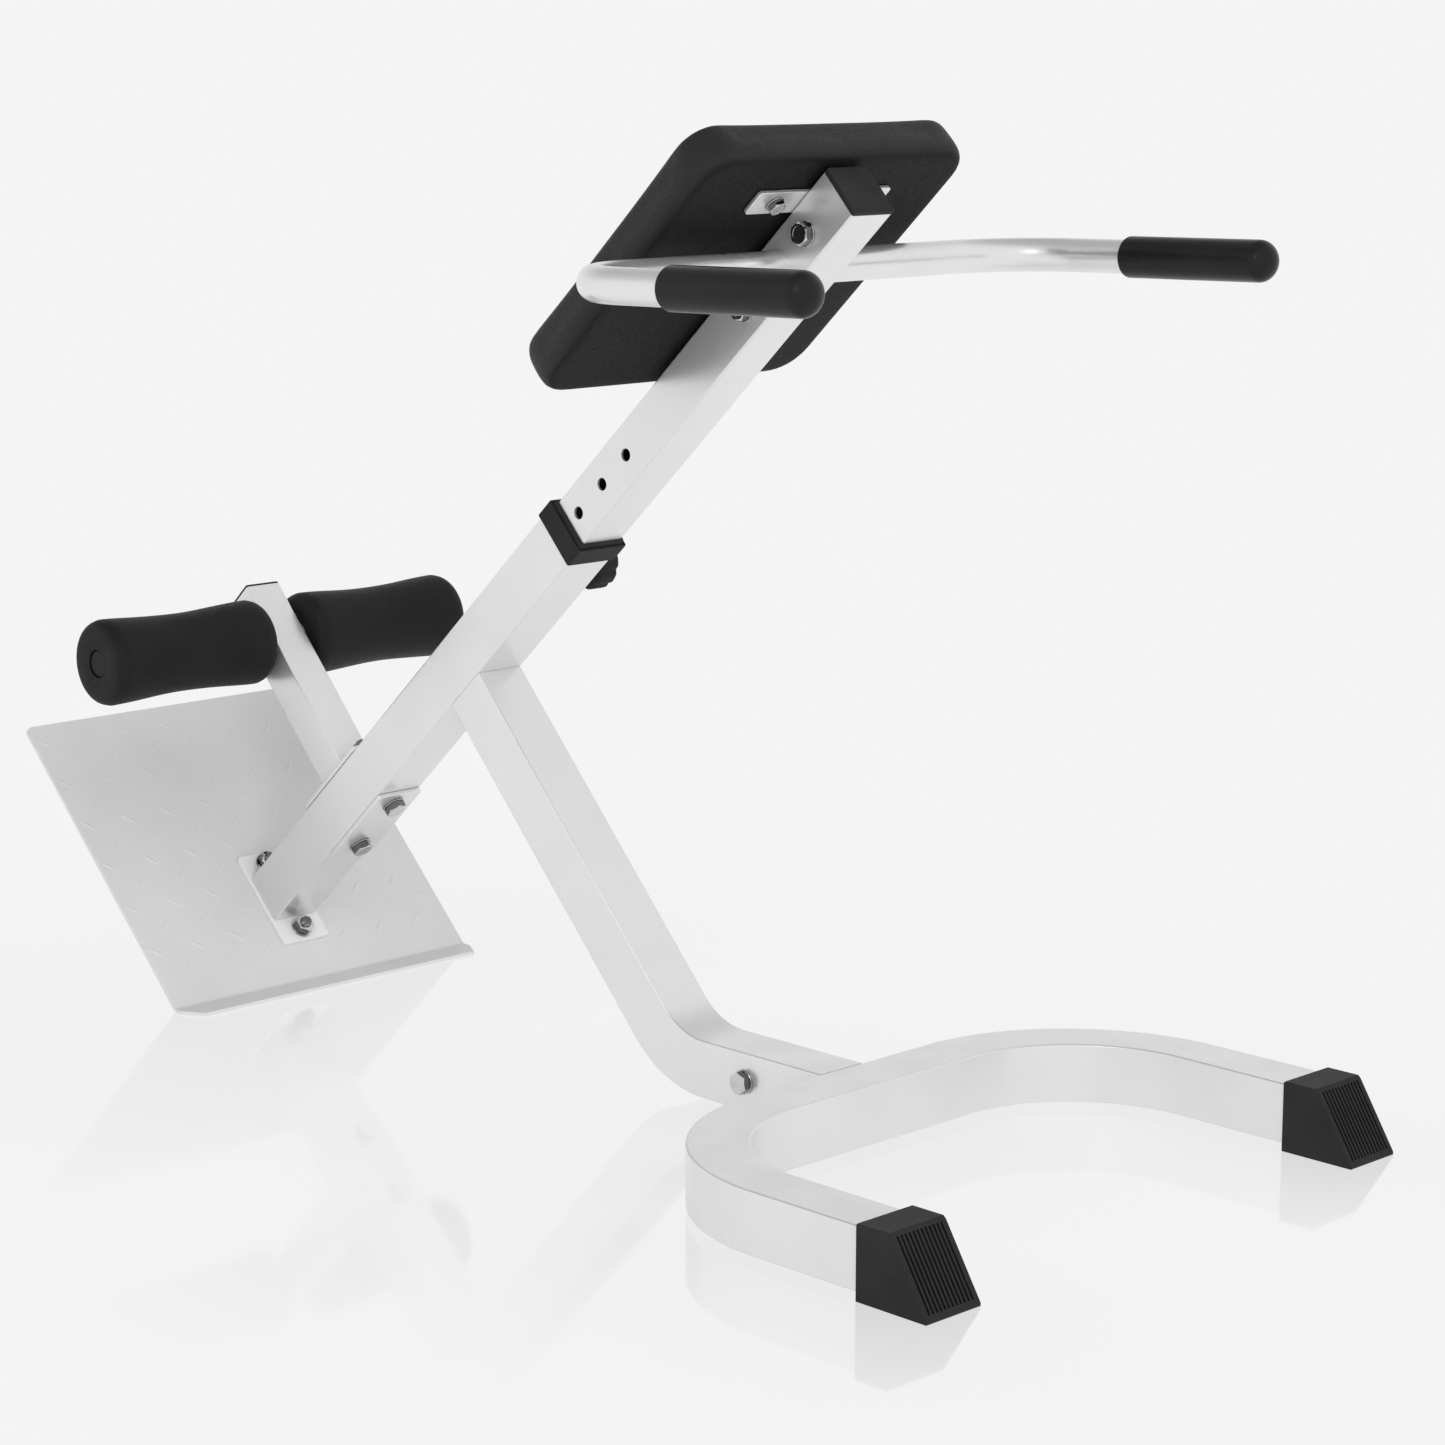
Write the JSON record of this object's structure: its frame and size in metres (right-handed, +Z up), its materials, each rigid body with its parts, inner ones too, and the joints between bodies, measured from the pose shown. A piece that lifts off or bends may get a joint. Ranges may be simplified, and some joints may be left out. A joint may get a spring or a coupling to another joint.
{
  "type": "roman chair",
  "caption": "Back-extension bench: sloping beam with a sliding hip pad and handlebar, foam ankle rollers, tread foot plate and a U-shaped floor base.",
  "frame": {"origin": "middle of the footprint on the floor", "axes": "+X from the foot plate towards the open ends of the base, +Y to the user's left when lying on the pad facing +X, +Z up; y = 0 is the plane of symmetry of the frame"},
  "size_m": [1.26, 0.5564, 0.8198],
  "materials": {
    "white_paint": "satin powder coat",
    "grey_plate_paint": "satin powder coat over raised tread",
    "zinc_steel": "bright zinc plate",
    "black_plastic": "moulded, fine grain",
    "grip_rubber": "glossy dipped rubber",
    "roller_foam": "closed-cell foam with a smooth skin",
    "pad_vinyl": "matte black vinyl",
    "board_black": "plywood under a black backing cloth"
  },
  "bodies": {
    "frame": {"main_beam": "white_paint", "beam_foot_flange": "white_paint", "upright": "white_paint", "base_tube": "white_paint", "base_stub": "white_paint", "post_base_plate": "white_paint", "post_backing_plate": "white_paint", "roller_post": "white_paint", "roller_axle": "white_paint", "foot_plate": "grey_plate_paint", "foot_plate_bolt_1": "zinc_steel", "foot_plate_bolt_2": "zinc_steel", "foot_plate_nut_1": "zinc_steel", "foot_plate_nut_2": "zinc_steel", "base_joint_bolt": "zinc_steel", "base_joint_nut": "zinc_steel", "post_bolt_1": "zinc_steel", "post_bolt_2": "zinc_steel", "post_nut_1": "zinc_steel", "post_nut_2": "zinc_steel", "pull_pin_housing": "zinc_steel", "pull_pin_spring": "zinc_steel", "beam_collar": "black_plastic", "base_cap_right": "black_plastic", "base_cap_left": "black_plastic", "post_cap": "black_plastic", "axle_plug_left": "black_plastic", "axle_plug_right": "black_plastic"},
    "slider": {"slider_tube": "white_paint", "slider_end_cap": "black_plastic", "slider_glide": "black_plastic", "handlebar_carrier": "white_paint", "handlebar": "white_paint", "grip_left": "grip_rubber", "grip_right": "grip_rubber", "carrier_bolt_1": "zinc_steel", "carrier_bolt_2": "zinc_steel", "carrier_nut_1": "zinc_steel", "carrier_nut_2": "zinc_steel", "pad_bracket_lower": "white_paint", "pad_bracket_upper": "white_paint", "pad_bolt_lower_1": "zinc_steel", "pad_bolt_lower_2": "zinc_steel", "pad_bolt_upper_1": "zinc_steel", "pad_bolt_upper_2": "zinc_steel", "pad_board": "board_black", "pad_cushion": "pad_vinyl"},
    "pull_pin": {"pull_pin": "zinc_steel", "pull_pin_knob": "black_plastic"},
    "roller_left": {"ankle_roller_left": "roller_foam"},
    "roller_right": {"ankle_roller_right": "roller_foam"}
  },
  "joints": [
    {"name": "height_slide", "type": "slide", "parent": "frame", "child": "slider", "axis": [0.7349, 0, 0.6782], "range_m": [-0.12, 0.12]},
    {"name": "pull_pin_slide", "type": "slide", "parent": "frame", "child": "pull_pin", "axis": [0, 1, 0], "range_m": [0, 0.011], "stiffness_N_per_m": 700, "springref_m": -0.012, "deforming": ["pull_pin_spring"]},
    {"name": "roller_left_spin", "type": "hinge", "parent": "frame", "child": "roller_left", "pos_m": [-0.46039, 0.114, 0.32053], "axis": [0, 1, 0], "continuous": true},
    {"name": "roller_right_spin", "type": "hinge", "parent": "frame", "child": "roller_right", "pos_m": [-0.46039, -0.114, 0.32053], "axis": [0, 1, 0], "continuous": true}
  ]
}
